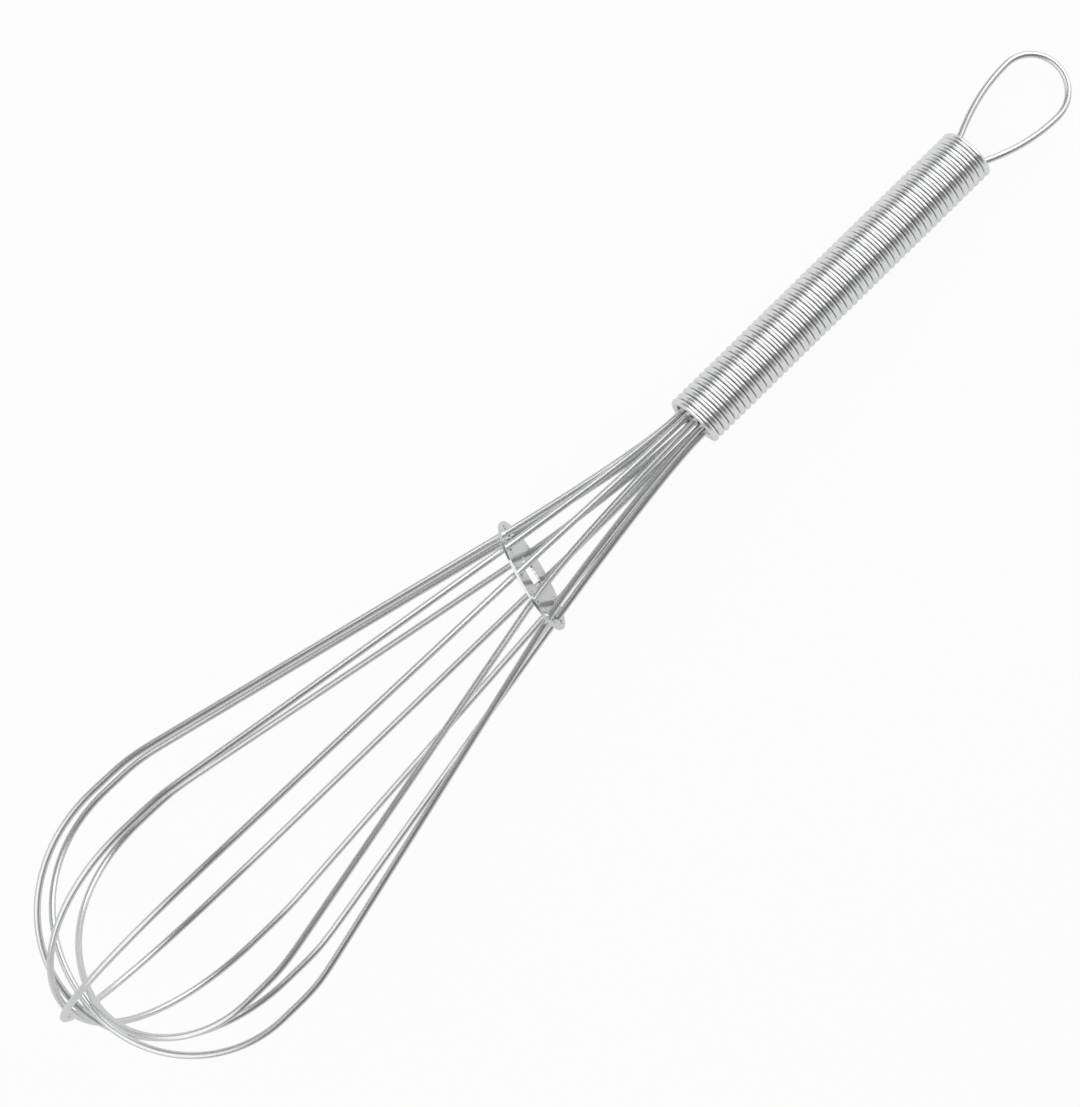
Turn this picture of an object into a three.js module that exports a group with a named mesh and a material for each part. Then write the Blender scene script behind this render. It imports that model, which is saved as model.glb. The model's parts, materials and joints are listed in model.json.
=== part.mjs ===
// A hand whisk lying on a table: five balloon wires and a hanging loop, bound round a core rod by a
// wound wire handle, with a loose spreader disc on the wires.
// Millimetres and degrees. +X runs from the handle to the balloon's tip, and +Z is up from the table.
import * as THREE from 'three';

// Clearances
const pieceGap = 0.3; // between neighbouring pieces
const holePlay = 0.2; // between a wire and the edge of its hole, at either end of the disc's slide

// Balloon wires. A station is a distance from the handle's mouth along the whisk's axis.
const wireDiameter = 1.5;
const mouthRun = 10; // how far past the mouth a leg still heads along the handle
const shoulderRun = 10; // length of each arm of the bend between a leg's straight run and its widest station
const widestStation = 146;
const innerReach = 176.4; // station of the innermost crossing at the tip
const crownFullness = 0.57; // roundness of the balloon's end, where 0.55 is a quarter of an ellipse
const cageTurn = -15; // turn of the legs' widest points from the disc's holes

// The two legs of each wire, from the innermost crossing at the tip to the outermost.
// place counts the legs round the axis, and swell is a leg's radius at its widest point. lean is how far
// that point stands from its even place, and late how far past the widest station it is: the soft wires
// have been bent in use.
const wireLegs = [
  [{ place: 1, swell: 34.5, lean: -4.5, late: 6.2 }, { place: 6, swell: 34.8, lean: 1.5, late: 0 }],
  [{ place: 0, swell: 33, lean: 2, late: 4 }, { place: 5, swell: 34, lean: 11.5, late: 0 }],
  [{ place: 4, swell: 33.5, lean: -6, late: 0 }, { place: 9, swell: 33.5, lean: -16.5, late: 0 }],
  [{ place: 3, swell: 33, lean: 2, late: 0 }, { place: 8, swell: 32.9, lean: -5, late: 0 }],
  [{ place: 2, swell: 30, lean: 7, late: 0 }, { place: 7, swell: 28.5, lean: 7.5, late: 0 }],
];

// Spreader disc
const discStation = 47.6;
const discThickness = 0.6;
const discBore = 8.8;
const holeCircle = 21.6; // diameter of the circle that the wire holes lie on
const discRim = 0.85; // width of the plate outside a wire hole
const firstHole = 32; // from +Y towards +Z
const discSlide = 1; // each way along the axis
const discYaw = -13.4; // the loose disc stands askew on its wires
const discPitch = 17.2;

// Handle coil, wound round the bundle of wire ends
const handleBend = 0.8; // of the handle from the balloon's axis, at the mouth, towards -Y
const seatGap = 0.45; // between neighbouring wire ends in the bundle
const bundleTurn = 1; // places by which the wire ends are turned from the disc's holes
const coilTurns = 52;
const coilLength = 87.5;
const coilWireDiameter = 1.25;
const coilEnds = -90; // where both cut ends of the coil lie, from +Y towards +Z: underneath
const coilSteps = 8; // facets in one turn
const coilSides = 5;

// Hanging loop
const loopReach = 28.1; // from the handle's end to the loop's outer side
const loopWidth = 17.8; // over its outer sides
const loopHold = 30; // the length of each end that the handle holds
const loopNeck = 0.8; // how far past the handle an end still heads along the handle
const loopFlank = 11; // length of the arm of the bend from there to the loop's widest station

const coreSetback = 3; // of the core rod's ends from the handle's

const quarterTurn = 0.5523; // length of the arms of a curve that draws a quarter of a unit circle

// Facets
const tubeSides = 8;
const wireSteps = 80;
const loopSteps = 48;
const plateSegments = 16; // in half of a round edge
const coreSides = 16;

const wireRadius = wireDiameter / 2;
const coilWireRadius = coilWireDiameter / 2;
const legCount = 2 * wireLegs.length;
const seatCount = legCount + 2; // the hanging loop's two ends sit in the same ring of wire ends
const bundleRadius = (wireDiameter + seatGap) / (2 * Math.sin(Math.PI / seatCount));
const coreRadius = bundleRadius - wireRadius - pieceGap;
const boreRadius = bundleRadius + wireRadius + pieceGap;
const coilRadius = (boreRadius + coilWireRadius) / Math.cos(Math.PI / coilSteps);
const handleRadius = coilRadius + coilWireRadius;
const radians = THREE.MathUtils.degToRad;

function steel(color, roughness) {
  return new THREE.MeshStandardMaterial({ color, roughness, metalness: 1 });
}

function piece(name, geometry, material) {
  const mesh = new THREE.Mesh(geometry, material);
  mesh.name = name;
  return mesh;
}

// A point at a station, a radius out from the axis at an angle from +Y towards +Z.
function polar(station, radius, degrees) {
  const angle = radians(degrees);
  return new THREE.Vector3(station, radius * Math.cos(angle), radius * Math.sin(angle));
}

function line(from, to) {
  return new THREE.LineCurve3(from, to);
}

function bend(from, leaving, arriving, to) {
  return new THREE.CubicBezierCurve3(from, leaving, arriving, to);
}

// A point moved along the axis.
function along(point, run) {
  return point.clone().setX(point.x + run);
}

function reversed(curve) {
  return curve.isLineCurve3 ? line(curve.v2, curve.v1) : bend(curve.v3, curve.v2, curve.v1, curve.v0);
}

// One wire that runs up the first list of curves and back down the second.
function joined(up, down) {
  const path = new THREE.CurvePath();
  path.curves = [...up, ...down.map(reversed).reverse()];
  return path;
}

function wireAlong(path, steps) {
  const section = new THREE.Shape();
  for (let side = 0; side < tubeSides; side++) {
    const corner = polar(0, wireRadius, (360 * side) / tubeSides);
    if (side === 0) section.moveTo(corner.y, corner.z);
    else section.lineTo(corner.y, corner.z);
  }
  return new THREE.ExtrudeGeometry(section, { steps, extrudePath: path });
}

// The hanging loop's ends have the seats at 0 and 180 degrees, so each half of the legs skips one.
function seatAngle(place) {
  const turned = (place + bundleTurn) % legCount;
  const seat = 1 + turned + Math.floor((2 * turned) / legCount);
  return (360 * seat) / seatCount;
}

// A point of the wire bundle, which is bent with the handle.
function inHandle(station, place) {
  const up = new THREE.Vector3(0, 0, 1);
  return polar(station, bundleRadius, seatAngle(place)).applyAxisAngle(up, radians(handleBend));
}

function holeAngle(place) {
  return firstHole + (360 * place) / legCount;
}

// The disc's own X is its normal.
const discTurn = new THREE.Euler(0, radians(discPitch), radians(discYaw), 'YZX');
const discNormal = new THREE.Vector3(1, 0, 0).applyEuler(discTurn);

function holeMiddle(place) {
  const middle = polar(0, holeCircle / 2, holeAngle(place)).applyEuler(discTurn);
  return along(middle, discStation);
}

function widestPoint(leg) {
  return polar(widestStation + leg.late, leg.swell, holeAngle(leg.place) + cageTurn + leg.lean);
}

// The direction in which a leg passes its hole.
function headingAt(leg) {
  return along(widestPoint(leg), -shoulderRun).sub(holeMiddle(leg.place)).normalize();
}

// A leg from its end in the handle, through its hole, to the crossing, which it meets square to the axis.
function legCurves(leg, crossing, outwards) {
  const mouth = inHandle(0, leg.place);
  const hole = holeMiddle(leg.place);
  const widest = widestPoint(leg);
  const shoulder = along(widest, -shoulderRun);
  const nearHole = hole.clone().addScaledVector(headingAt(leg), -mouthRun);
  const straightEnd = shoulder.clone().addScaledVector(headingAt(leg), -shoulderRun);
  const flank = along(widest, crownFullness * (crossing.x - widest.x));
  const crown = crossing.clone().addScaledVector(outwards, crownFullness * leg.swell);
  return [
    line(inHandle(coilWireDiameter - coilLength, leg.place), mouth),
    bend(mouth, inHandle(mouthRun, leg.place), nearHole, hole),
    line(hole, straightEnd),
    bend(straightEnd, shoulder, shoulder, widest),
    bend(widest, flank, crown, crossing),
  ];
}

function balloonPath([first, second], order) {
  const crossing = polar(innerReach + order * (wireDiameter + pieceGap), 0, 0);
  const outwards = widestPoint(first).sub(widestPoint(second)).normalize();
  const up = legCurves(first, crossing, outwards);
  const down = legCurves(second, crossing, outwards.clone().negate());
  return joined(up, down);
}

// All holes are punched alike, so that the leg that leans most in its hole clears it all through the slide.
function holeRadius() {
  const reaches = wireLegs.flat().map((leg) => {
    const heading = headingAt(leg);
    const facing = heading.dot(discNormal);
    const slant = Math.sqrt(1 - facing * facing) / facing;
    const drift = heading.multiplyScalar(-discNormal.x / facing).add(new THREE.Vector3(1, 0, 0));
    return wireRadius / facing + (discThickness / 2) * slant + discSlide * drift.length();
  });
  return Math.max(...reaches) + holePlay;
}

function ringHole(y, z, radius) {
  return new THREE.Path().absarc(y, z, radius, 0, 2 * Math.PI, true);
}

function spreaderDisc() {
  const wireHole = holeRadius();
  const plate = new THREE.Shape().absarc(0, 0, holeCircle / 2 + wireHole + discRim, 0, 2 * Math.PI);
  plate.holes.push(ringHole(0, 0, discBore / 2));
  for (let place = 0; place < legCount; place++) {
    const middle = polar(0, holeCircle / 2, holeAngle(place));
    plate.holes.push(ringHole(middle.y, middle.z, wireHole));
  }
  const flat = { depth: discThickness, curveSegments: plateSegments, bevelEnabled: false };
  const geometry = new THREE.ExtrudeGeometry(plate, flat).translate(0, 0, -discThickness / 2);
  // From lying flat to standing across the axis: X, Y and Z become Y, Z and X.
  geometry.rotateY(Math.PI / 2).rotateX(Math.PI / 2);
  return geometry;
}

// The coil's wire as a closed tube, wound from the handle's end to its mouth. Each ring of corners faces
// the axis, and both ends run straight for one wire diameter.
function coilRings() {
  const facets = coilTurns * coilSteps;
  const advance = (coilLength - coilWireDiameter) / facets;
  const middleAt = (i) => {
    return polar(coilWireRadius - coilLength + i * advance, coilRadius, coilEnds - (360 * i) / coilSteps);
  };
  const ringAt = (i, run) => {
    const heading = middleAt(i + 1).sub(middleAt(i - 1)).normalize();
    const middle = middleAt(i);
    const outwards = middle.clone().setX(0).normalize();
    const sideways = heading.clone().cross(outwards);
    const corners = [];
    for (let side = 0; side < coilSides; side++) {
      const corner = polar(0, coilWireRadius, (360 * side) / coilSides);
      const offset = outwards.clone().multiplyScalar(corner.y).addScaledVector(sideways, corner.z);
      corners.push(offset.add(middle).addScaledVector(heading, run));
    }
    return corners;
  };
  const rings = [ringAt(0, -coilWireDiameter)];
  for (let i = 0; i <= facets; i++) rings.push(ringAt(i, 0));
  rings.push(ringAt(facets, coilWireDiameter));
  return rings;
}

// The least distance between the corners of one turn and of the next.
function leastGap(rings) {
  let least = Infinity;
  rings.forEach((ring, i) => {
    const nextTurn = rings.slice(i + coilSteps - 1, i + coilSteps + 2).flat();
    for (const corner of ring) {
      for (const other of nextTurn) least = Math.min(least, corner.distanceTo(other));
    }
  });
  return least;
}

function tubeOf(rings) {
  const sides = rings[0].length;
  const last = (rings.length - 1) * sides;
  const triangles = [];
  for (let base = 0; base < last; base += sides) {
    for (let side = 0; side < sides; side++) {
      const next = (side + 1) % sides;
      triangles.push(base + side, base + next, base + sides + side);
      triangles.push(base + next, base + sides + next, base + sides + side);
    }
  }
  for (let side = 1; side < sides - 1; side++) {
    triangles.push(0, side + 1, side, last, last + side, last + side + 1);
  }
  const tube = new THREE.BufferGeometry().setFromPoints(rings.flat()).setIndex(triangles);
  tube.computeVertexNormals();
  return tube;
}

function hangingPath() {
  const round = (loopWidth - wireDiameter) / 2;
  const roundStation = wireRadius + round - coilLength - loopReach;
  const farSide = polar(roundStation - round, 0, 0);
  const half = (angle) => {
    const end = polar(-coilLength, bundleRadius, angle);
    const widest = polar(roundStation, round, angle);
    const flank = along(widest, -quarterTurn * round);
    const crown = along(polar(0, quarterTurn * round, angle), farSide.x);
    return [
      line(along(end, loopHold), end),
      bend(end, along(end, -loopNeck), along(widest, loopFlank), widest),
      bend(widest, flank, crown, farSide),
    ];
  };
  return joined(half(0), half(180));
}

function coreRod() {
  const length = coilLength - 2 * coreSetback;
  const rod = new THREE.CylinderGeometry(coreRadius, coreRadius, length, coreSides);
  return rod.rotateZ(Math.PI / 2).translate(-coilLength / 2, 0, 0);
}

const paths = wireLegs.map(balloonPath);
const rings = coilRings();
console.log(`handle_coil: least gap to itself ${leastGap(rings).toFixed(2)} mm`);

const disc = piece('spreader_disc', spreaderDisc(), steel(0xd2d4d6, 0.15));
disc.position.x = discStation;
disc.rotation.copy(discTurn);

const whisk = new THREE.Group();
paths.forEach((path, order) => {
  whisk.add(piece(`balloon_wire_${order + 1}`, wireAlong(path, wireSteps), steel(0xc4c6c8, 0.2)));
});
whisk.add(disc);

const handle = new THREE.Group();
handle.add(piece('handle_coil', tubeOf(rings), steel(0xcacccd, 0.2)));
handle.add(piece('hanging_loop', wireAlong(hangingPath(), loopSteps), steel(0xc4c6c8, 0.2)));
handle.add(piece('core_rod', coreRod(), steel(0x9a9c9e, 0.45)));
handle.rotation.z = radians(handleBend);
whisk.add(handle);

// The whisk rests on the foot of the handle's end and on its lowest wires. Its tilt is that of the line
// from the foot that only just clears every wire.
const foot = new THREE.Vector3(-coilLength, 0, -handleRadius);
const tilts = paths.flatMap((path) => path.getSpacedPoints(wireSteps)).map((point) => {
  const run = point.sub(foot).setY(0);
  return Math.asin(wireRadius / run.length()) - Math.atan2(run.z, run.x);
});
whisk.rotation.y = -Math.max(...tilts);

// The origin is under the middle of the whole, on the table.
const part = new THREE.Group().add(whisk);
const box = new THREE.Box3().setFromObject(part, true);
whisk.position.copy(box.getCenter(new THREE.Vector3()).negate());
whisk.position.z = -box.min.z;

export default part;
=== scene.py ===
"""A balloon whisk of bright steel wire, lying on a white table and seen from straight above.

All lengths are in metres and all angles in degrees. Stations are distances along the whisk's axis from the
handle's mouth, and the axis points from the handle to the balloon's tip.
"""
import json
import logging
import math
from dataclasses import dataclass, field
from enum import Enum
from typing import Any, Sequence

import bpy
from mathutils import Matrix, Vector
from mathutils.geometry import interpolate_bezier


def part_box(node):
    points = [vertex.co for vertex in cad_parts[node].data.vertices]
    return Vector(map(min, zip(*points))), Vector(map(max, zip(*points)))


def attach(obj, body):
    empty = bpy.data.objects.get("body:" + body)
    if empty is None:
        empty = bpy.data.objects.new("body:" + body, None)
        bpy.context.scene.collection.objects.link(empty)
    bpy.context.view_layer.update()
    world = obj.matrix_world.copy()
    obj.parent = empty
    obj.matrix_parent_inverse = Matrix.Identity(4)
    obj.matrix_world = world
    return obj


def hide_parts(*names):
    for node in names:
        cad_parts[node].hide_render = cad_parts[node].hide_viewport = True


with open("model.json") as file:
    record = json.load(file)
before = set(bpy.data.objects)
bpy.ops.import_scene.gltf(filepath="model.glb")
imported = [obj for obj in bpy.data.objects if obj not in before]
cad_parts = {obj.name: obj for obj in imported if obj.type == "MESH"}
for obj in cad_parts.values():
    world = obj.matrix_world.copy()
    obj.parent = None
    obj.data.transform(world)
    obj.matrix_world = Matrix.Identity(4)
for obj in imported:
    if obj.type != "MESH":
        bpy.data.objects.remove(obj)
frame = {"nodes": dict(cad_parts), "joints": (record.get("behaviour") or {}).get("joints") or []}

log = logging.getLogger("whisk")

# points nearer than this are one point
TOUCHING = 1e-6

# turns a piece that is made round +Z so that it lies round +X
LYING = Matrix(((0, 0, 1, 0), (1, 0, 0, 0), (0, 1, 0, 0), (0, 0, 0, 1)))


class Body(str, Enum):
    """The bodies of the frame that pieces ride on."""

    CAGE = "cage"
    SPREADER = "spreader"


class Slot(str, Enum):
    """The record's material slots of the pieces made here, which nothing in this script uses."""

    BALLOON = "balloon_wire"
    PLATE = "spreader_plate"
    HANDLE = "handle_wire"
    LOOP = "loop_wire"


def polar(station: float, radius: float, degrees: float) -> Vector:
    """Gives a point of the whisk's own frame.

    Args:
        station: distance along the axis from the handle's mouth.
        radius: distance from the axis.
        degrees: angle round the axis, from +Y towards +Z.

    Returns:
        The point.
    """
    angle = math.radians(degrees)
    return Vector((station, radius * math.cos(angle), radius * math.sin(angle)))


def along(point: Vector, run: float) -> Vector:
    """Gives a point moved along the axis by a run."""
    return point + Vector((run, 0, 0))


def add_node(
    tree: bpy.types.NodeTree, kind: str, values: dict[str | int, Any] | None, settings: dict[str, Any]
) -> bpy.types.Node:
    """Adds a node to a tree.

    Args:
        tree: the tree.
        kind: the node's type name.
        values: input values by socket name or index, or sockets to link from.
        settings: the node's own properties.

    Returns:
        The node.
    """
    node = tree.nodes.new(kind)
    for key, value in settings.items():
        setattr(node, key, value)
    for key, value in (values or {}).items():
        if isinstance(value, bpy.types.NodeSocket):
            tree.links.new(value, node.inputs[key])
        else:
            node.inputs[key].default_value = value
    return node


class Shader:
    """A material's nodes, with a metal shader that ends in the surface output."""

    def __init__(self, name: str) -> None:
        """Starts a material with a metal shader.

        Args:
            name: the material's name.
        """
        self.material = bpy.data.materials.new(name)
        self.material.use_nodes = True
        self.tree = self.material.node_tree
        self.metal = self.tree.nodes["Principled BSDF"]
        self.metal.inputs["Metallic"].default_value = 1.0

    def add(self, kind: str, values: dict[str | int, Any] | None = None, **settings: Any) -> bpy.types.Node:
        """Adds a node with its input values and its own properties."""
        return add_node(self.tree, kind, values, settings)

    def roughened(self, factor: bpy.types.NodeSocket, low: float, high: float) -> None:
        """Gives the metal its roughness by a pattern.

        Args:
            factor: the pattern, from 0 to 1.
            low: the roughness at 0.
            high: the roughness at 1.
        """
        level = self.add("ShaderNodeMapRange", {"Value": factor, "To Min": low, "To Max": high})
        self.tree.links.new(level.outputs["Result"], self.metal.inputs["Roughness"])

    def tinted(self, factor: bpy.types.NodeSocket, low: Sequence[float], high: Sequence[float]) -> None:
        """Colours the metal by a pattern.

        Args:
            factor: the pattern, from 0 to 1.
            low: the colour at 0.
            high: the colour at 1.
        """
        # a mix node's sockets 6 and 7 are its two colours, and its output 2 is the mixed one
        values = {"Factor": factor, 6: (*low, 1.0), 7: (*high, 1.0)}
        mix = self.add("ShaderNodeMix", values, data_type="RGBA")
        self.tree.links.new(mix.outputs[2], self.metal.inputs["Base Color"])

    def noise(self, place: bpy.types.NodeSocket, waves: float, detail: float = 2.0) -> bpy.types.NodeSocket:
        """Adds a noise pattern.

        Args:
            place: the coordinates that it is laid on.
            waves: how many of its waves go into a metre.
            detail: octaves.

        Returns:
            The pattern's socket.
        """
        node = self.add("ShaderNodeTexNoise", {"Vector": place, "Scale": waves, "Detail": detail})
        return node.outputs["Fac"]

    def stretched(self, place: bpy.types.NodeSocket, scale: Sequence[float]) -> bpy.types.NodeSocket:
        """Stretches coordinates.

        Args:
            place: the coordinates.
            scale: the factor along each axis.

        Returns:
            The stretched coordinates' socket.
        """
        return self.add("ShaderNodeMapping", {"Vector": place, "Scale": scale}).outputs["Vector"]

    def bumped(self, height: bpy.types.NodeSocket, depth: float, strength: float) -> None:
        """Gives the metal a fine relief.

        Args:
            height: the relief, from 0 to 1.
            depth: the relief's depth.
            strength: how much of the relief is used.
        """
        bump = self.add("ShaderNodeBump", {"Height": height, "Distance": depth, "Strength": strength})
        self.tree.links.new(bump.outputs["Normal"], self.metal.inputs["Normal"])


@dataclass(frozen=True)
class WireFinish:
    """Bright steel wire with faint lengthwise draw lines and a little dulling from use.

    The pattern is laid on the wire's own coordinates: across its section, and along its run.
    """

    name: str
    bright: tuple[float, float, float]
    dull: tuple[float, float, float]
    smooth: float
    rough: float
    line_waves: float = 6500.0
    line_squeeze: tuple[float, float, float] = (1.0, 1.0, 0.012)
    line_detail: float = 3.0
    line_depth: float = 0.000008
    line_strength: float = 0.35
    patch_waves: float = 260.0
    patch_squeeze: tuple[float, float, float] = (1.0, 1.0, 0.35)

    def material(self) -> bpy.types.Material:
        """Builds the finish's material."""
        shader = Shader(self.name)
        place = shader.add("ShaderNodeAttribute", attribute_name="wire_place").outputs["Vector"]
        lines = shader.noise(shader.stretched(place, self.line_squeeze), self.line_waves, self.line_detail)
        patches = shader.noise(shader.stretched(place, self.patch_squeeze), self.patch_waves)
        shader.tinted(patches, self.dull, self.bright)
        wear = shader.add("ShaderNodeMath", {0: lines, 1: patches}, operation="MULTIPLY").outputs[0]
        shader.roughened(wear, self.smooth, self.rough)
        shader.bumped(lines, self.line_depth, self.line_strength)
        return shader.material


@dataclass(frozen=True)
class SheetFinish:
    """Stamped steel sheet, mirror bright, with a rolled grain and a slight waviness."""

    name: str = "stamped_sheet"
    bright: tuple[float, float, float] = (0.8, 0.805, 0.81)
    dull: tuple[float, float, float] = (0.7, 0.705, 0.71)
    smooth: float = 0.06
    rough: float = 0.2
    grain_waves: float = 5200.0
    grain_squeeze: tuple[float, float, float] = (1.0, 0.03, 1.0)
    grain_detail: float = 3.0
    grain_share: float = 0.03
    dents: float = 95.0
    depth: float = 0.0002
    strength: float = 0.5

    def material(self) -> bpy.types.Material:
        """Builds the finish's material."""
        shader = Shader(self.name)
        place = shader.add("ShaderNodeTexCoord").outputs["Object"]
        grain = shader.noise(shader.stretched(place, self.grain_squeeze), self.grain_waves, self.grain_detail)
        dents = shader.noise(place, self.dents)
        shader.tinted(dents, self.dull, self.bright)
        shader.roughened(grain, self.smooth, self.rough)
        values = {0: grain, 1: self.grain_share, 2: dents}
        height = shader.add("ShaderNodeMath", values, operation="MULTIPLY_ADD")
        shader.bumped(height.outputs[0], self.depth, self.strength)
        return shader.material


@dataclass(frozen=True)
class RodFinish:
    """Plain cut rod with turning lines round it."""

    name: str = "cut_rod"
    bright: tuple[float, float, float] = (0.62, 0.63, 0.64)
    dull: tuple[float, float, float] = (0.45, 0.45, 0.46)
    smooth: float = 0.3
    rough: float = 0.5
    line_waves: float = 4000.0
    line_squeeze: tuple[float, float, float] = (1.0, 0.05, 0.05)
    line_detail: float = 3.0
    line_depth: float = 0.00002
    line_strength: float = 0.5

    def material(self) -> bpy.types.Material:
        """Builds the finish's material."""
        shader = Shader(self.name)
        place = shader.add("ShaderNodeTexCoord").outputs["Object"]
        lines = shader.noise(shader.stretched(place, self.line_squeeze), self.line_waves, self.line_detail)
        shader.tinted(lines, self.dull, self.bright)
        shader.roughened(lines, self.smooth, self.rough)
        shader.bumped(lines, self.line_depth, self.line_strength)
        return shader.material


class NodeSheet:
    """A geometry node tree with named inputs, which is built once and baked for each piece."""

    def __init__(self, name: str) -> None:
        """Starts a tree with a geometry input, a material input and a geometry output.

        Args:
            name: the tree's name.
        """
        self.tree = bpy.data.node_groups.new(name, "GeometryNodeTree")
        face = self.tree.interface
        face.new_socket("Geometry", in_out="INPUT", socket_type="NodeSocketGeometry")
        face.new_socket("Geometry", in_out="OUTPUT", socket_type="NodeSocketGeometry")
        face.new_socket("Material", in_out="INPUT", socket_type="NodeSocketMaterial")
        self.given = self.tree.nodes.new("NodeGroupInput")

    def size(self, name: str, whole: bool = False) -> bpy.types.NodeSocket:
        """Adds a named input.

        Args:
            name: the input's name.
            whole: True for a count, False for a length.

        Returns:
            The input's socket inside the tree.
        """
        kind = "NodeSocketInt" if whole else "NodeSocketFloat"
        self.tree.interface.new_socket(name, in_out="INPUT", socket_type=kind)
        return self.given.outputs[name]

    def add(self, kind: str, values: dict[str | int, Any] | None = None, **settings: Any) -> bpy.types.Node:
        """Adds a node with its input values and its own properties."""
        return add_node(self.tree, kind, values, settings)

    def end(self, geometry: bpy.types.NodeSocket) -> None:
        """Realizes the geometry, gives it the material and sends it out.

        Args:
            geometry: the finished geometry.
        """
        real = self.add("GeometryNodeRealizeInstances", {"Geometry": geometry})
        paint = self.add(
            "GeometryNodeSetMaterial",
            {"Geometry": real.outputs[0], "Material": self.given.outputs["Material"]},
        )
        self.add("NodeGroupOutput", {0: paint.outputs[0]})

    def bake(
        self, base: bpy.types.Mesh, material: bpy.types.Material, sizes: dict[str, Any]
    ) -> bpy.types.Mesh:
        """Runs the tree and keeps its result as a plain mesh.

        Args:
            base: the mesh that the tree starts from.
            material: the piece's material.
            sizes: the values of the named inputs.

        Returns:
            The result.
        """
        host = bpy.data.objects.new("baking", base)
        bpy.context.scene.collection.objects.link(host)
        modifier = host.modifiers.new("shape", "NODES")
        modifier.node_group = self.tree
        values = {"Material": material, **sizes}
        for item in self.tree.interface.items_tree:
            if item.in_out == "INPUT" and item.name in values:
                modifier[item.identifier] = values[item.name]
        graph = bpy.context.evaluated_depsgraph_get()
        mesh = bpy.data.meshes.new_from_object(
            host.evaluated_get(graph), preserve_all_data_layers=True, depsgraph=graph
        )
        bpy.data.objects.remove(host)
        bpy.data.meshes.remove(base)
        return mesh


def sweep(sheet: NodeSheet, curve: bpy.types.NodeSocket) -> None:
    """Ends a tree by running a round section along a curve.

    The result keeps, as wire_place, each point's place across the section and its run along the wire.

    Args:
        sheet: the tree.
        curve: the wire's middle line.
    """
    radius = sheet.size("Wire Radius")
    sides = sheet.size("Sides", whole=True)
    run = sheet.add("GeometryNodeSplineParameter")
    rail = sheet.add("GeometryNodeCaptureAttribute", domain="POINT")
    rail.capture_items.new("FLOAT", "Run")
    sheet.tree.links.new(curve, rail.inputs[0])
    sheet.tree.links.new(run.outputs["Length"], rail.inputs[1])
    circle = sheet.add("GeometryNodeCurvePrimitiveCircle", {"Resolution": sides, "Radius": radius})
    section = sheet.add("GeometryNodeCaptureAttribute", domain="POINT")
    section.capture_items.new("VECTOR", "Section")
    sheet.tree.links.new(circle.outputs[0], section.inputs[0])
    sheet.tree.links.new(sheet.add("GeometryNodeInputPosition").outputs[0], section.inputs[1])
    tube = sheet.add(
        "GeometryNodeCurveToMesh",
        {"Curve": rail.outputs[0], "Profile Curve": section.outputs[0], "Fill Caps": True},
    )
    apart = sheet.add("ShaderNodeSeparateXYZ", {0: section.outputs[1]})
    place = sheet.add("ShaderNodeCombineXYZ", {0: apart.outputs[0], 1: apart.outputs[1], 2: rail.outputs[1]})
    kept = sheet.add(
        "GeometryNodeStoreNamedAttribute",
        {"Geometry": tube.outputs[0], "Name": "wire_place", "Value": place.outputs[0]},
        data_type="FLOAT_VECTOR",
        domain="POINT",
    )
    smooth = sheet.add("GeometryNodeSetShadeSmooth", {"Geometry": kept.outputs[0]})
    sheet.end(smooth.outputs[0])


def wire_sheet() -> NodeSheet:
    """Builds the tree that makes a round wire along a line of points."""
    sheet = NodeSheet("wire_along_path")
    curve = sheet.add("GeometryNodeMeshToCurve", {"Mesh": sheet.given.outputs["Geometry"]})
    sweep(sheet, curve.outputs[0])
    return sheet


def coil_sheet() -> NodeSheet:
    """Builds the tree that winds a round wire into a straight coil."""
    sheet = NodeSheet("wire_wound")
    turns = sheet.size("Turns")
    height = sheet.size("Height")
    radius = sheet.size("Coil Radius")
    steps = sheet.size("Steps", whole=True)
    winding = sheet.add(
        "GeometryNodeCurveSpiral",
        {
            "Resolution": steps,
            "Rotations": turns,
            "Start Radius": radius,
            "End Radius": radius,
            "Height": height,
            "Reverse": True,
        },
    )
    sweep(sheet, winding.outputs[0])
    return sheet


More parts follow.
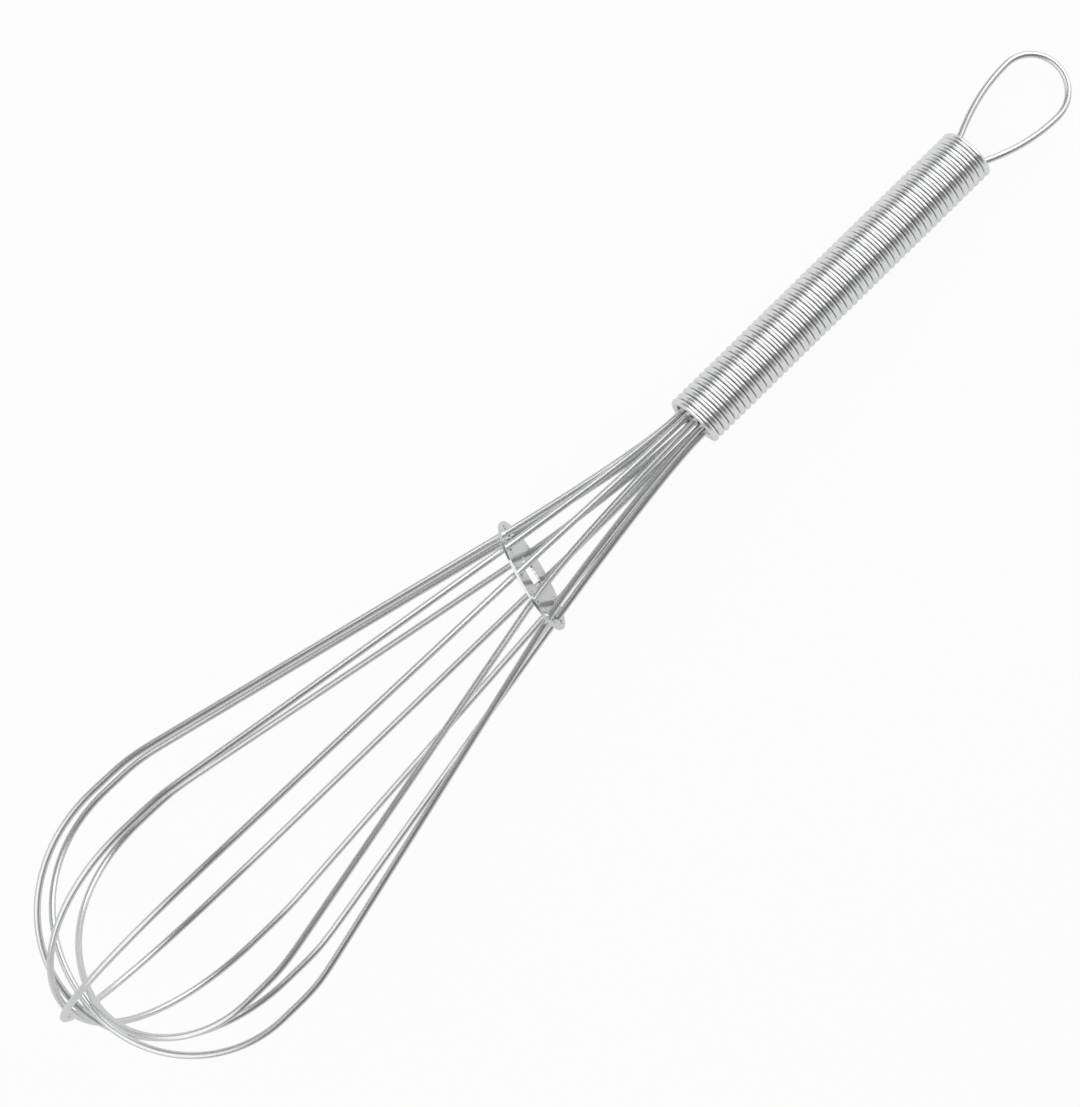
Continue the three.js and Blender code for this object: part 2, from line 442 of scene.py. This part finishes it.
def plate_sheet() -> NodeSheet:
    """Builds the tree that punches a round plate with a centre hole and a ring of wire holes."""
    sheet = NodeSheet("plate_punched")
    rim = sheet.size("Rim Radius")
    bore = sheet.size("Bore Radius")
    ring = sheet.size("Ring Radius")
    hole = sheet.size("Hole Radius")
    count = sheet.size("Holes", whole=True)
    thickness = sheet.size("Thickness")
    rim_sides = sheet.size("Rim Sides", whole=True)
    bore_sides = sheet.size("Bore Sides", whole=True)
    hole_sides = sheet.size("Hole Sides", whole=True)
    outer = sheet.add("GeometryNodeCurvePrimitiveCircle", {"Resolution": rim_sides, "Radius": rim})
    middle = sheet.add("GeometryNodeCurvePrimitiveCircle", {"Resolution": bore_sides, "Radius": bore})
    punch = sheet.add("GeometryNodeCurvePrimitiveCircle", {"Resolution": hole_sides, "Radius": hole})
    places = sheet.add("GeometryNodeMeshCircle", {"Vertices": count, "Radius": ring})
    holes = sheet.add(
        "GeometryNodeInstanceOnPoints", {"Points": places.outputs[0], "Instance": punch.outputs[0]}
    )
    outlines = sheet.add("GeometryNodeJoinGeometry")
    for part in (outer, middle, holes):
        sheet.tree.links.new(part.outputs[0], outlines.inputs[0])
    loops = sheet.add("GeometryNodeRealizeInstances", {"Geometry": outlines.outputs[0]})
    face = sheet.add("GeometryNodeFillCurve", {"Curve": loops.outputs[0]}, mode="NGONS")
    raised = sheet.add(
        "GeometryNodeExtrudeMesh",
        {"Mesh": face.outputs[0], "Offset Scale": thickness, "Individual": False},
        mode="FACES",
    )
    under = sheet.add("GeometryNodeFlipFaces", {"Mesh": face.outputs[0]})
    both = sheet.add("GeometryNodeJoinGeometry")
    for part in (raised, under):
        sheet.tree.links.new(part.outputs[0], both.inputs[0])
    closed = sheet.add("GeometryNodeMergeByDistance", {"Geometry": both.outputs[0], "Distance": TOUCHING})
    smooth = sheet.add("GeometryNodeSetShadeSmooth", {"Geometry": closed.outputs[0]})
    sheet.end(smooth.outputs[0])
    return sheet


def line_mesh(points: Sequence[Vector]) -> bpy.types.Mesh:
    """Makes a mesh of one open line of points.

    Args:
        points: the line's points in order.

    Returns:
        The mesh.
    """
    mesh = bpy.data.meshes.new("path")
    edges = [(i, i + 1) for i in range(len(points) - 1)]
    mesh.from_pydata([tuple(p) for p in points], edges, [])
    return mesh


@dataclass
class Path:
    """A line through straight runs and curves, where each curve is given by its ends and its two arms."""

    points: list[Vector] = field(default_factory=list)
    spacing: float = 0.0011
    straight_spacing: float = 0.0044
    fewest_steps: int = 2
    fewest_points: int = 8

    def line(self, start: Vector, end: Vector) -> None:
        """Adds a straight run from start to end."""
        count = max(self.fewest_steps, round((end - start).length / self.straight_spacing))
        self.extend([start.lerp(end, i / count) for i in range(count + 1)])

    def bend(self, start: Vector, leaving: Vector, arriving: Vector, end: Vector) -> None:
        """Adds a curve.

        Args:
            start: where it starts.
            leaving: the end of the arm that it leaves along.
            arriving: the end of the arm that it arrives along.
            end: where it ends.
        """
        count = max(self.fewest_points, round((end - start).length / self.spacing))
        self.extend(interpolate_bezier(start, leaving, arriving, end, count))

    def extend(self, points: Sequence[Vector]) -> None:
        """Adds points, without the first where the line is already there."""
        met = bool(self.points) and (points[0] - self.points[-1]).length < TOUCHING
        self.points.extend(points[1:] if met else points)

    def joined(self, other: "Path") -> list[Vector]:
        """Gives the points of this path and back along the other, which ends at the same point."""
        return self.points + other.points[-2::-1]


@dataclass(frozen=True)
class Handle:
    """The sizes of the handle that the other pieces depend on."""

    wire_diameter: float = 0.0015
    gap: float = 0.0003
    seat_gap: float = 0.00045
    seats: int = 12
    length: float = 0.0875
    bend: float = 0.8

    @property
    def bundle_radius(self) -> float:
        """The radius of the ring of wire ends."""
        return (self.wire_diameter + self.seat_gap) / (2 * math.sin(math.pi / self.seats))

    @property
    def turn(self) -> Matrix:
        """The handle's bend from the balloon's axis."""
        return Matrix.Rotation(math.radians(self.bend), 4, "Z")


@dataclass(frozen=True)
class Lay:
    """How the whisk lies in the frame.

    Its axis is the disc's slide, and the middle of its core rod is the handle's middle.
    """

    handle: Handle

    @property
    def whisk(self) -> Matrix:
        """From the whisk's own frame, whose origin is the handle's mouth, to the frame's."""
        forward = Vector(frame["joints"][0]["axis"]).normalized()
        across = Vector((0, 0, 1)).cross(forward).normalized()
        turn = Matrix((forward, across, forward.cross(across))).transposed().to_4x4()
        low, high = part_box("core_rod")
        middle = turn @ self.handle.turn @ Vector((-self.handle.length / 2, 0, 0))
        return Matrix.Translation((low + high) / 2 - middle) @ turn

    @property
    def grip(self) -> Matrix:
        """From the handle's own frame to the frame's."""
        return self.whisk @ self.handle.turn


def finished(
    name: str, mesh: bpy.types.Mesh, place: Matrix, body: Body, replaced: str
) -> bpy.types.Object:
    """Puts a mesh in its place as a piece of the object.

    Args:
        name: the piece's name.
        mesh: its mesh, in its own frame.
        place: from its own frame to the frame's.
        body: the body that it rides on.
        replaced: the CAD node that it stands for.

    Returns:
        The piece.
    """
    mesh.transform(place)
    mesh.name = name
    piece = bpy.data.objects.new(name, mesh)
    bpy.context.scene.collection.objects.link(piece)
    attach(piece, body.value)
    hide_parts(replaced)
    log.info("%s: %d faces, for %s", name, len(mesh.polygons), replaced)
    return piece


@dataclass
class SpreaderDisc:
    """The punched plate that holds the legs apart. It is loose on them and stands askew."""

    handle: Handle
    finish: SheetFinish = SheetFinish()
    station: float = 0.0476
    thickness: float = 0.0006
    bore: float = 0.0088
    hole_circle: float = 0.0216
    hole_radius: float = 0.0017
    rim: float = 0.00085
    holes: int = 10
    first_hole: float = 32.0
    yaw: float = -13.4
    pitch: float = 17.2
    edge: float = 0.0001
    edge_segments: int = 3
    rim_sides: int = 128
    bore_sides: int = 64
    hole_sides: int = 40

    @property
    def turn(self) -> Matrix:
        """The plate's stance."""
        yaw = Matrix.Rotation(math.radians(self.yaw), 4, "Z")
        return Matrix.Rotation(math.radians(self.pitch), 4, "Y") @ yaw

    def hole_angle(self, place: int) -> float:
        """Gives the angle of the hole of a place round the axis."""
        return self.first_hole + 360.0 * place / self.holes

    def hole_middle(self, place: int) -> Vector:
        """Gives the middle of the hole of a place."""
        return along(self.turn @ polar(0, self.hole_circle / 2, self.hole_angle(place)), self.station)

    def build(self, lay: Lay) -> None:
        """Makes the plate.

        Args:
            lay: how the whisk lies.
        """
        mesh = plate_sheet().bake(
            bpy.data.meshes.new("start"),
            self.finish.material(),
            {
                "Rim Radius": self.hole_circle / 2 + self.hole_radius + self.rim,
                "Bore Radius": self.bore / 2,
                "Ring Radius": self.hole_circle / 2,
                "Hole Radius": self.hole_radius,
                "Holes": self.holes,
                "Thickness": self.thickness,
                "Rim Sides": self.rim_sides,
                "Bore Sides": self.bore_sides,
                "Hole Sides": self.hole_sides,
            },
        )
        turned = Matrix.Rotation(math.radians(self.first_hole), 4, "X") @ LYING
        centred = turned @ Matrix.Translation((0, 0, -self.thickness / 2))
        place = lay.whisk @ Matrix.Translation((self.station, 0, 0)) @ self.turn @ centred
        plate = finished("punched_plate", mesh, place, Body.SPREADER, "spreader_disc")
        rounding = plate.modifiers.new("tumbled edges", "BEVEL")
        rounding.width = self.edge
        rounding.segments = self.edge_segments
        rounding.limit_method = "ANGLE"
        rounding.harden_normals = True


@dataclass(frozen=True)
class Leg:
    """One leg of a balloon wire.

    It has a place round the axis, a radius where it is widest, a lean from its even place there, and a run by
    which its widest point comes later than the other legs' do.
    """

    place: int
    swell: float
    lean: float
    late: float = 0.0


@dataclass
class Balloon:
    """The five crossed wires of the balloon."""

    handle: Handle
    disc: SpreaderDisc
    finish: WireFinish
    wires: tuple[tuple[Leg, Leg], ...] = (
        (Leg(1, 0.0345, -4.5, 0.0062), Leg(6, 0.0348, 1.5)),
        (Leg(0, 0.033, 2.0, 0.004), Leg(5, 0.034, 11.5)),
        (Leg(4, 0.0335, -6.0), Leg(9, 0.0335, -16.5)),
        (Leg(3, 0.033, 2.0), Leg(8, 0.0329, -5.0)),
        (Leg(2, 0.03, 7.0), Leg(7, 0.0285, 7.5)),
    )
    mouth_run: float = 0.01
    shoulder_run: float = 0.01
    widest_station: float = 0.146
    inner_reach: float = 0.1764
    fullness: float = 0.57
    cage_turn: float = -15.0
    bundle_turn: int = 1
    hidden_end: float = 0.00125
    sides: int = 20

    def seat_angle(self, place: int) -> float:
        """Gives the angle of a leg's end in the handle, where the hanging loop has two of the seats."""
        legs = 2 * len(self.wires)
        turned = (place + self.bundle_turn) % legs
        return 360.0 * (1 + turned + 2 * turned // legs) / self.handle.seats

    def in_handle(self, station: float, place: int) -> Vector:
        """Gives a point of the bundle of wire ends, which is bent with the handle."""
        return self.handle.turn @ polar(station, self.handle.bundle_radius, self.seat_angle(place))

    def widest(self, leg: Leg) -> Vector:
        """Gives a leg's widest point."""
        degrees = self.disc.hole_angle(leg.place) + self.cage_turn + leg.lean
        return polar(self.widest_station + leg.late, leg.swell, degrees)

    def leg_path(self, leg: Leg, crossing: Vector, outwards: Vector) -> Path:
        """Leads a leg from its end in the handle, through its hole, to the crossing at the tip.

        Args:
            leg: the leg.
            crossing: where it meets its other half.
            outwards: the direction that it comes to the crossing from.

        Returns:
            The leg's path.
        """
        mouth = self.in_handle(0, leg.place)
        hole = self.disc.hole_middle(leg.place)
        widest = self.widest(leg)
        shoulder = along(widest, -self.shoulder_run)
        heading = (shoulder - hole).normalized()
        straight_end = shoulder - heading * self.shoulder_run
        path = Path()
        path.line(self.in_handle(self.hidden_end - self.handle.length, leg.place), mouth)
        path.bend(mouth, self.in_handle(self.mouth_run, leg.place), hole - heading * self.mouth_run, hole)
        path.line(hole, straight_end)
        path.bend(straight_end, shoulder, shoulder, widest)
        flank = along(widest, self.fullness * (crossing.x - widest.x))
        path.bend(widest, flank, crossing + outwards * self.fullness * leg.swell, crossing)
        return path

    def build(self, lay: Lay, sheet: NodeSheet) -> None:
        """Makes the wires.

        Args:
            lay: how the whisk lies.
            sheet: the tree that makes a wire along a path.
        """
        material = self.finish.material()
        for order, (first, second) in enumerate(self.wires):
            reach = self.inner_reach + order * (self.handle.wire_diameter + self.handle.gap)
            crossing = Vector((reach, 0, 0))
            outwards = (self.widest(first) - self.widest(second)).normalized()
            up = self.leg_path(first, crossing, outwards)
            points = up.joined(self.leg_path(second, crossing, -outwards))
            sizes = {"Wire Radius": self.handle.wire_diameter / 2, "Sides": self.sides}
            mesh = sheet.bake(line_mesh(points), material, sizes)
            number = order + 1
            finished(
                f"drawn_wire_{number}", mesh, lay.whisk, Body.CAGE, f"balloon_wire_{number}"
            )


@dataclass
class HandleCoil:
    """The wire that is wound close round the bundle of wire ends."""

    handle: Handle
    finish: WireFinish
    turns: float = 52.0
    wire_diameter: float = 0.0016
    outer_radius: float = 0.0065
    ends: float = -90.0
    steps: int = 56
    sides: int = 16

    def build(self, lay: Lay) -> None:
        """Makes the coil.

        Args:
            lay: how the whisk lies.
        """
        radius = self.wire_diameter / 2
        mesh = coil_sheet().bake(
            bpy.data.meshes.new("start"),
            self.finish.material(),
            {
                "Turns": self.turns,
                "Height": self.handle.length - self.wire_diameter,
                "Coil Radius": self.outer_radius - radius,
                "Steps": self.steps,
                "Wire Radius": radius,
                "Sides": self.sides,
            },
        )
        end = Matrix.Translation((radius - self.handle.length, 0, 0))
        turned = Matrix.Rotation(math.radians(self.ends), 4, "X")
        finished("wound_grip", mesh, lay.grip @ end @ turned @ LYING, Body.CAGE, "handle_coil")


@dataclass
class HangingLoop:
    """The teardrop loop at the handle's end."""

    handle: Handle
    finish: WireFinish
    reach: float = 0.0281
    width: float = 0.0178
    hold: float = 0.03
    neck: float = 0.0008
    flank: float = 0.011
    quarter: float = 0.5523
    spacing: float = 0.0004
    straight_spacing: float = 0.0016
    sides: int = 20

    def half(self, degrees: float) -> Path:
        """Leads one half of the loop from its end in the handle to the loop's far side.

        Args:
            degrees: the side of the axis that it is on.

        Returns:
            The half's path.
        """
        radius = (self.width - self.handle.wire_diameter) / 2
        middle = self.handle.wire_diameter / 2 + radius - self.handle.length - self.reach
        start = polar(-self.handle.length, self.handle.bundle_radius, degrees)
        widest = polar(middle, radius, degrees)
        far = Vector((middle - radius, 0, 0))
        arm = self.quarter * radius
        path = Path(spacing=self.spacing, straight_spacing=self.straight_spacing)
        path.line(along(start, self.hold), start)
        path.bend(start, along(start, -self.neck), along(widest, self.flank), widest)
        path.bend(widest, along(widest, -arm), far + polar(0, arm, degrees), far)
        return path

    def build(self, lay: Lay, sheet: NodeSheet) -> None:
        """Makes the loop.

        Args:
            lay: how the whisk lies.
            sheet: the tree that makes a wire along a path.
        """
        sizes = {"Wire Radius": self.handle.wire_diameter / 2, "Sides": self.sides}
        points = self.half(0).joined(self.half(180))
        mesh = sheet.bake(line_mesh(points), self.finish.material(), sizes)
        finished("bent_loop", mesh, lay.grip, Body.CAGE, "hanging_loop")


@dataclass
class CoreRod:
    """The rod inside the handle, whose CAD node stays."""

    finish: RodFinish = RodFinish()

    def dress(self) -> None:
        """Gives the rod its finish."""
        node = frame["nodes"]["core_rod"]
        node.data.materials.clear()
        node.data.materials.append(self.finish.material())
        log.info("core_rod: dressed")


@dataclass
class Softbox:
    """A large soft lamp that faces the whisk.

    It stands at an angle from overhead towards +X and another towards +Y. Its length is its face's size
    across the whisk, its height is the size along the whisk, and its level is the brightness of its face.
    """

    name: str
    towards_x: float
    towards_y: float
    distance: float
    length: float
    height: float
    level: float

    def build(self) -> None:
        """Makes the lamp, which has an even level over its face."""
        data = bpy.data.lights.new(self.name, "AREA")
        data.shape = "RECTANGLE"
        data.size = self.length
        data.size_y = self.height
        data.energy = self.level * math.pi * self.length * self.height
        lamp = bpy.data.objects.new(self.name, data)
        away = Vector((math.tan(math.radians(self.towards_x)), math.tan(math.radians(self.towards_y)), 1.0))
        away.normalize()
        lamp.location = away * self.distance
        lamp.rotation_euler = (-away).to_track_quat("-Z", "Y").to_euler()
        lamp.visible_camera = False
        bpy.context.scene.collection.objects.link(lamp)


@dataclass
class Room:
    """The room round the table: dark overhead, with pale walls that are lighter on the +Y side."""

    overhead: float = 0.18
    left_wall: float = 0.42
    right_wall: float = 0.82
    pale_height: float = 0.55

    def build(self) -> None:
        """Makes the room."""
        world = bpy.data.worlds.new("room")
        world.use_nodes = True
        nodes = world.node_tree.nodes
        links = world.node_tree.links
        apart = nodes.new("ShaderNodeSeparateXYZ")
        links.new(nodes.new("ShaderNodeTexCoord").outputs["Generated"], apart.inputs[0])
        wall = nodes.new("ShaderNodeMapRange")
        # a direction's Y runs from -1 to 1
        wall.inputs["From Min"].default_value = -1.0
        wall.inputs["To Min"].default_value = self.left_wall
        wall.inputs["To Max"].default_value = self.right_wall
        links.new(apart.outputs["Y"], wall.inputs["Value"])
        level = nodes.new("ShaderNodeMapRange")
        level.interpolation_type = "SMOOTHSTEP"
        level.inputs["From Max"].default_value = self.pale_height
        level.inputs["To Max"].default_value = self.overhead
        links.new(wall.outputs["Result"], level.inputs["To Min"])
        links.new(apart.outputs["Z"], level.inputs["Value"])
        links.new(level.outputs["Result"], nodes["Background"].inputs["Color"])
        bpy.context.scene.world = world


@dataclass
class Table:
    """A matt white table, which the eye sees as white paper and which takes the whisk's shadow."""

    size: float = 12.0
    height: float = -0.0001
    shade: float = 0.85
    seen: float = 0.94
    mirrored: float = 0.35

    def material(self) -> bpy.types.Material:
        """Builds the table's material, which is nearly white to the eye, and partly so in the metal."""
        material = bpy.data.materials.new("white_table")
        material.use_nodes = True
        nodes = material.node_tree.nodes
        links = material.node_tree.links
        nodes.clear()
        rays = nodes.new("ShaderNodeLightPath")
        share = None
        for ray, level in (("Camera", self.seen), ("Transmission", self.seen), ("Glossy", self.mirrored)):
            step = nodes.new("ShaderNodeMath")
            step.operation = "MULTIPLY_ADD"
            links.new(rays.outputs[f"Is {ray} Ray"], step.inputs[0])
            step.inputs[1].default_value = level
            step.inputs[2].default_value = 0.0
            if share is not None:
                links.new(share, step.inputs[2])
            share = step.outputs[0]
        matt = nodes.new("ShaderNodeBsdfDiffuse")
        matt.inputs["Color"].default_value = (self.shade, self.shade, self.shade, 1)
        white = nodes.new("ShaderNodeEmission")
        mix = nodes.new("ShaderNodeMixShader")
        links.new(share, mix.inputs[0])
        links.new(matt.outputs[0], mix.inputs[1])
        links.new(white.outputs[0], mix.inputs[2])
        out = nodes.new("ShaderNodeOutputMaterial")
        links.new(mix.outputs[0], out.inputs["Surface"])
        return material

    def build(self) -> None:
        """Makes the table."""
        half = self.size / 2
        mesh = bpy.data.meshes.new("table")
        corners = [(x * half, y * half, self.height) for x, y in ((-1, -1), (1, -1), (1, 1), (-1, 1))]
        mesh.from_pydata(corners, [], [(0, 1, 2, 3)])
        mesh.materials.append(self.material())
        table = bpy.data.objects.new("table", mesh)
        bpy.context.scene.collection.objects.link(table)


@dataclass
class Studio:
    """The table, the room, and a lamp beyond each end of the whisk."""

    table: Table = field(default_factory=Table)
    room: Room = field(default_factory=Room)
    lamps: tuple[Softbox, ...] = (
        Softbox("tip_softbox", 41.4, -18.0, 0.72, 1.26, 0.8, 1.0),
        Softbox("handle_softbox", -54.0, -19.0, 0.72, 1.0, 0.68, 1.5),
    )

    def build(self) -> None:
        """Makes the studio."""
        self.table.build()
        self.room.build()
        for lamp in self.lamps:
            lamp.build()
        bpy.context.scene.view_settings.view_transform = "Standard"


@dataclass
class PhotoCamera:
    """The camera, straight above the table."""

    place: tuple[float, float, float] = (0.00865, -0.00264, 0.640)
    turn: float = 136.46
    focal_pixels: float = 2880.6
    frame_height: int = 1107
    sensor: float = 36.0
    nearest: float = 0.01

    def build(self) -> None:
        """Makes the camera."""
        data = bpy.data.cameras.new("photo_camera")
        data.sensor_width = self.sensor
        data.lens = self.focal_pixels / self.frame_height * self.sensor
        data.clip_start = self.nearest
        camera = bpy.data.objects.new("photo_camera", data)
        camera.location = self.place
        camera.rotation_euler = (0, 0, math.radians(self.turn))
        bpy.context.scene.collection.objects.link(camera)
        bpy.context.scene.camera = camera


def main() -> None:
    """Builds the whisk, its studio and its camera."""
    logging.basicConfig(level=logging.INFO, format="%(name)s %(message)s")
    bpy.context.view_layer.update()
    drawn = WireFinish("drawn_wire", (0.84, 0.845, 0.85), (0.74, 0.745, 0.75), 0.26, 0.4)
    # the coil wire's steel tint is painted lighter than the other wires' to stand in for light: it makes up
    # for the darker room that its turns reflect
    wound = WireFinish("wound_wire_lit_brighter", (0.92, 0.925, 0.93), (0.84, 0.845, 0.85), 0.2, 0.33)
    bent = WireFinish("bent_wire", (0.84, 0.845, 0.85), (0.74, 0.745, 0.75), 0.26, 0.4)
    handle = Handle()
    lay = Lay(handle)
    wires = wire_sheet()
    disc = SpreaderDisc(handle)
    disc.build(lay)
    Balloon(handle, disc, drawn).build(lay, wires)
    HandleCoil(handle, wound).build(lay)
    HangingLoop(handle, bent).build(lay, wires)
    CoreRod().dress()
    Studio().build()
    PhotoCamera().build()


if __name__ == "__main__":
    main()
